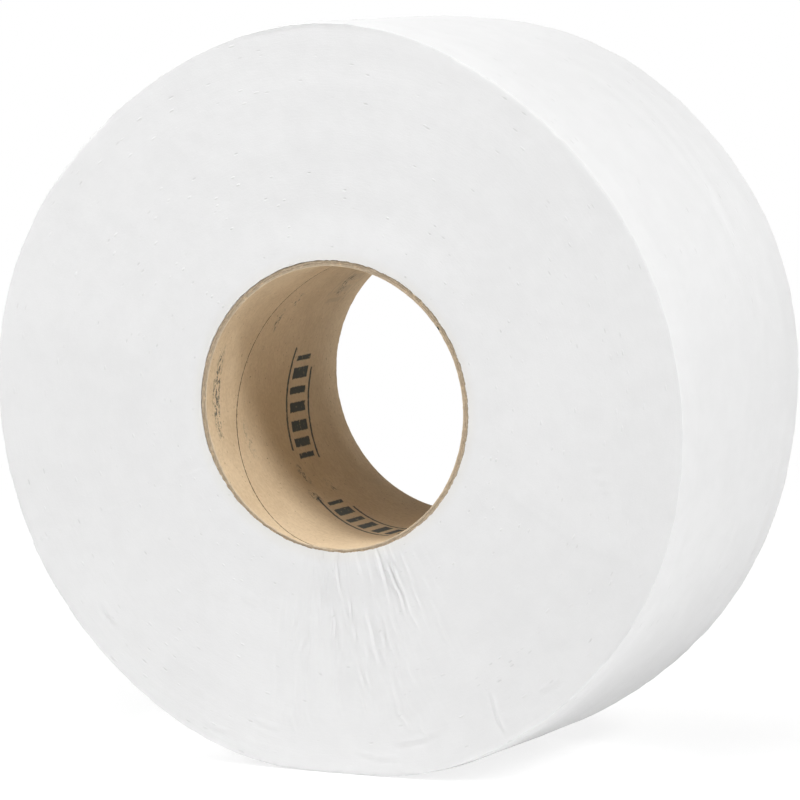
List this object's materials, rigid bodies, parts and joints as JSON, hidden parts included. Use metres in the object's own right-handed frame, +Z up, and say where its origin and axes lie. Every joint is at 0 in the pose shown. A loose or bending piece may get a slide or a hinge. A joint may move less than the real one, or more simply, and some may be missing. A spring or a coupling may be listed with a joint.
{
  "type": "jumbo toilet paper roll",
  "caption": "Jumbo toilet paper roll: wound tissue on a spiral-wound cardboard core, lying on its round side.",
  "frame": {"origin": "middle of the flat spot that the roll rests on", "axes": "Y is the roll's axis, with the pictured cut face at -Y; +Z is up from the floor"},
  "size_m": [0.2018, 0.081, 0.2002],
  "materials": {
    "tissue": "matt bleached tissue",
    "cardboard": "matt unbleached kraft board"
  },
  "bodies": {
    "root": {"tissue_paper": "tissue", "cardboard_core": "cardboard"}
  },
  "joints": []
}
